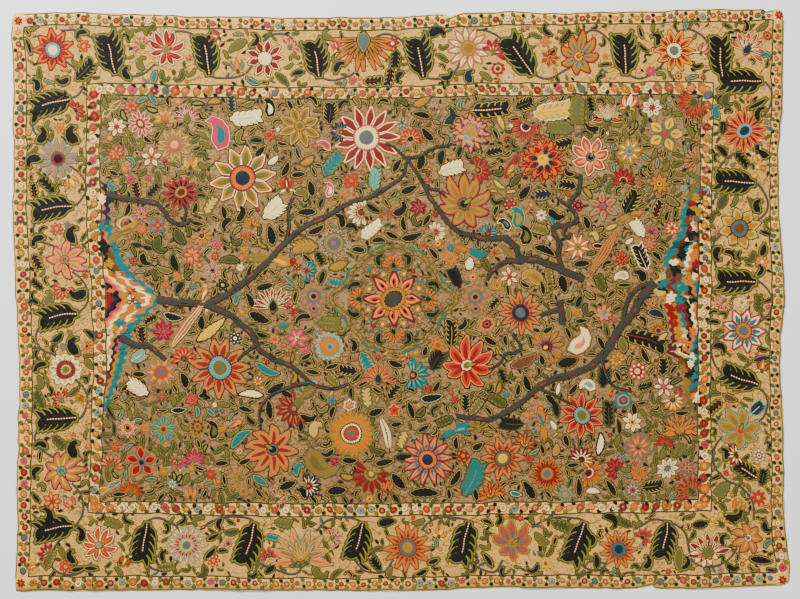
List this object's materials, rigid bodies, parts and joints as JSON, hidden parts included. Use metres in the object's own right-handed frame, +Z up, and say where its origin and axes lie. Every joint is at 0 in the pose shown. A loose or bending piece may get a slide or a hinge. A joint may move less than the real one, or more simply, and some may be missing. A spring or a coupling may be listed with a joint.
{
  "type": "palampore",
  "caption": "Flat embroidered cotton bed cover with a flowering-tree field, a wide vine border and narrow guard bands, laid out face up.",
  "frame": {"origin": "middle of the cover, on the surface that it lies on", "axes": "+X along the length, +Y across the width, +Z up out of the embroidered face"},
  "size_m": [2.7258, 2.0388, 0.0084],
  "materials": {
    "ground_cotton": "plain woven, aged unbleached cotton",
    "silk_stitching": "chain stitch in many colours of floss silk"
  },
  "bodies": {
    "root": {"ground_cloth": "ground_cotton"}
  },
  "joints": []
}
